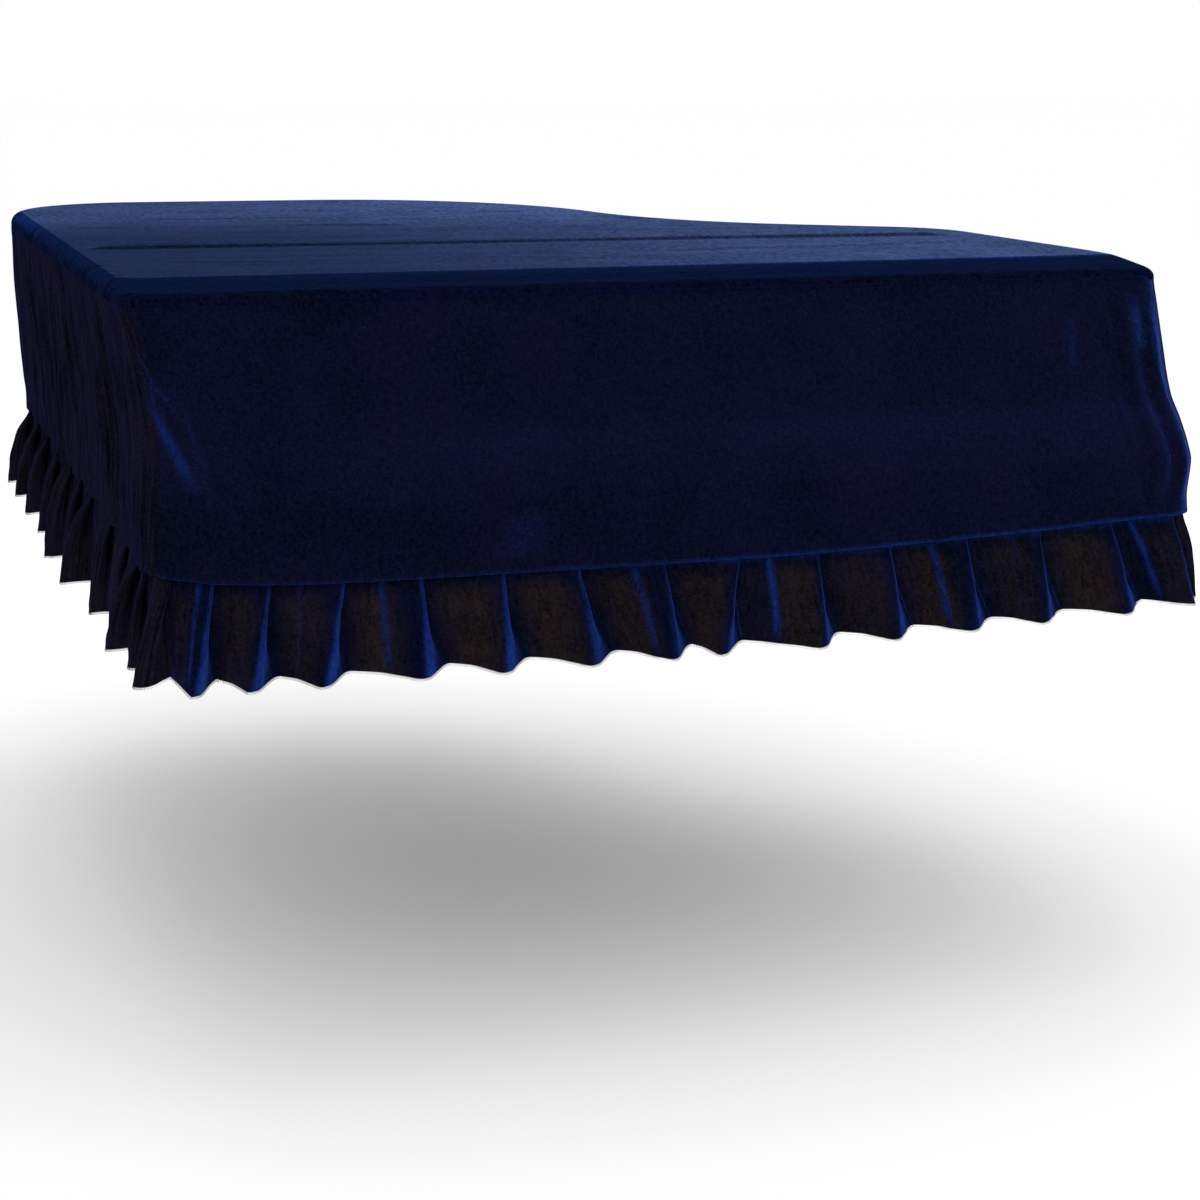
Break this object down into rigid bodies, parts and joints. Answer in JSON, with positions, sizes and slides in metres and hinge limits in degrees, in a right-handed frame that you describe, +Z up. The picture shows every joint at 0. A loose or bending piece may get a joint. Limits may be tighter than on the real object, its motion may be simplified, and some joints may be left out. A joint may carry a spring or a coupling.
{
  "type": "grand piano cover",
  "caption": "Fitted velvet cover for a grand piano: a flat curved top, a hanging skirt and a knife-pleated ruffle, hollow and open below.",
  "frame": {"origin": "under the top, 0.75 m from its left edge and 0.60 m behind its front edge, on the underside of the cloth", "axes": "+X to the right along the front, +Y to the narrow tail, +Z up"},
  "size_m": [1.5885, 1.7166, 0.4911],
  "materials": {
    "velvet": "navy velvet, matt face on, with a soft sheen where it turns away"
  },
  "bodies": {
    "root": {"top_panel": "velvet", "skirt_front": "velvet", "skirt_right": "velvet", "skirt_curve": "velvet", "skirt_left": "velvet", "ruffle_front": "velvet", "ruffle_right": "velvet", "ruffle_curve": "velvet", "ruffle_left": "velvet"}
  },
  "joints": []
}
